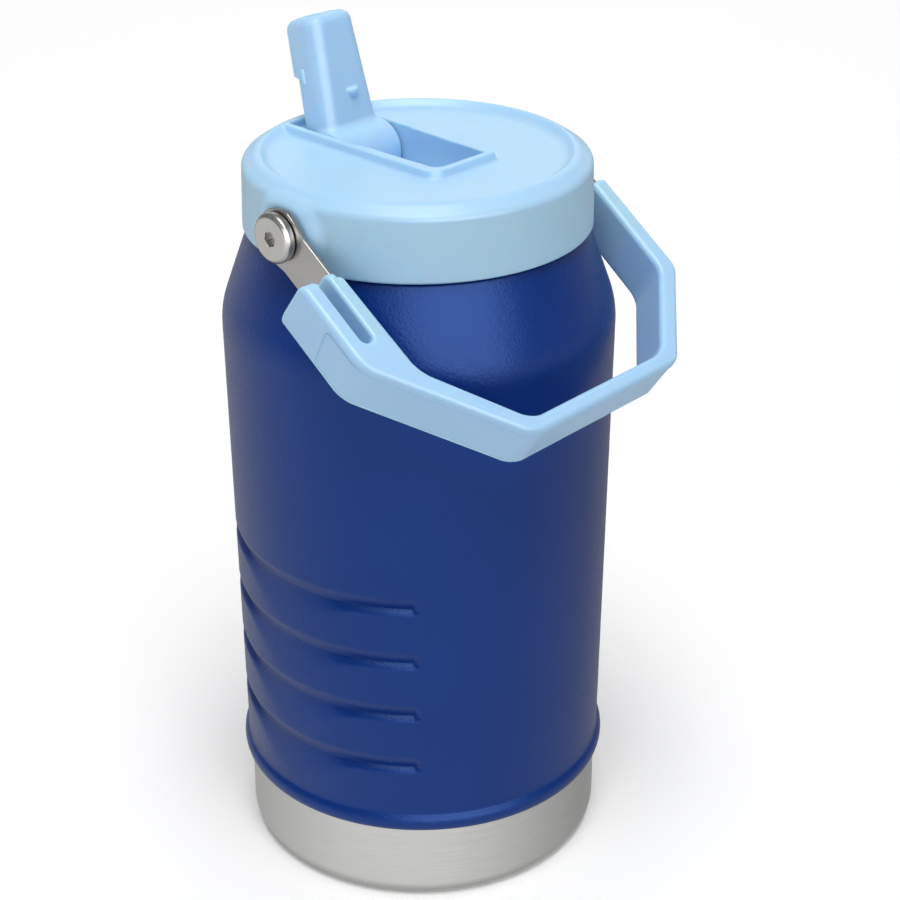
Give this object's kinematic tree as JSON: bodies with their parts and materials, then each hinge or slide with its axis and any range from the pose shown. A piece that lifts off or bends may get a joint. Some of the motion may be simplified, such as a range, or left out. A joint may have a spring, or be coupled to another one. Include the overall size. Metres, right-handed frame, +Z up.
{
  "type": "insulated water jug",
  "caption": "Tall double-walled steel jug with a screw-on lid, a flip-up drinking spout over a straw, and a swinging carry handle with a hook.",
  "frame": {"origin": "centre of the underside, on the jug's axis", "axes": "+Z up the jug's axis, +X along the handle's pivot line to the jug's right, -Y to the front where the handle rests"},
  "size_m": [0.1334, 0.1432, 0.2766],
  "materials": {
    "blue_coat": "fine-textured powder coat, satin",
    "bare_steel": "brushed around the circumference",
    "vessel_steel": "electropolished",
    "getter": "sintered",
    "seal_glass": "fused",
    "silicone": "matt, translucent white",
    "sky_plastic": "moulded, satin",
    "clear_plastic": "clear",
    "brass": "machined",
    "bolt_steel": "turned",
    "strap_steel": "brushed along the strap"
  },
  "bodies": {
    "jug": {"outer_shell": "blue_coat", "base_cup": "bare_steel", "base_disc": "bare_steel", "inner_vessel": "vessel_steel", "getter": "getter", "vacuum_seal_plug": "seal_glass"},
    "gasket": {"lid_gasket": "silicone"},
    "lid": {"lid_shell": "sky_plastic", "lid_plug": "sky_plastic", "spout_seal": "silicone", "vent_valve": "silicone", "straw_adaptor": "silicone", "straw": "clear_plastic", "pivot_insert_left": "brass", "pivot_insert_right": "brass", "pivot_bolt_left": "bolt_steel", "pivot_bolt_right": "bolt_steel", "pivot_washer_left": "bolt_steel", "pivot_washer_right": "bolt_steel"},
    "spout": {"spout": "sky_plastic"},
    "handle": {"handle_grip": "sky_plastic", "handle_strap_left": "strap_steel", "handle_strap_right": "strap_steel"}
  },
  "joints": [
    {"name": "lid_rise", "type": "slide", "parent": "jug", "child": "gasket", "axis": [0, 0, 1], "range_m": [0, 0.00901]},
    {"name": "lid_unscrew", "type": "hinge", "parent": "gasket", "child": "lid", "pos_m": [0, 0, 0.23], "axis": [0, 0, 1], "range_deg": [0, 540]},
    {"name": "spout_flip", "type": "hinge", "parent": "lid", "child": "spout", "pos_m": [0, 0.0275, 0.234], "axis": [1, 0, 0], "range_deg": [0, 104]},
    {"name": "handle_swing", "type": "hinge", "parent": "lid", "child": "handle", "pos_m": [0, 0, 0.2295], "axis": [-1, 0, 0], "range_deg": [0, 250]}
  ],
  "couplings": [
    {"joint": "lid_rise", "follows": "lid_unscrew", "m_per_rad": 0.00095493}
  ]
}
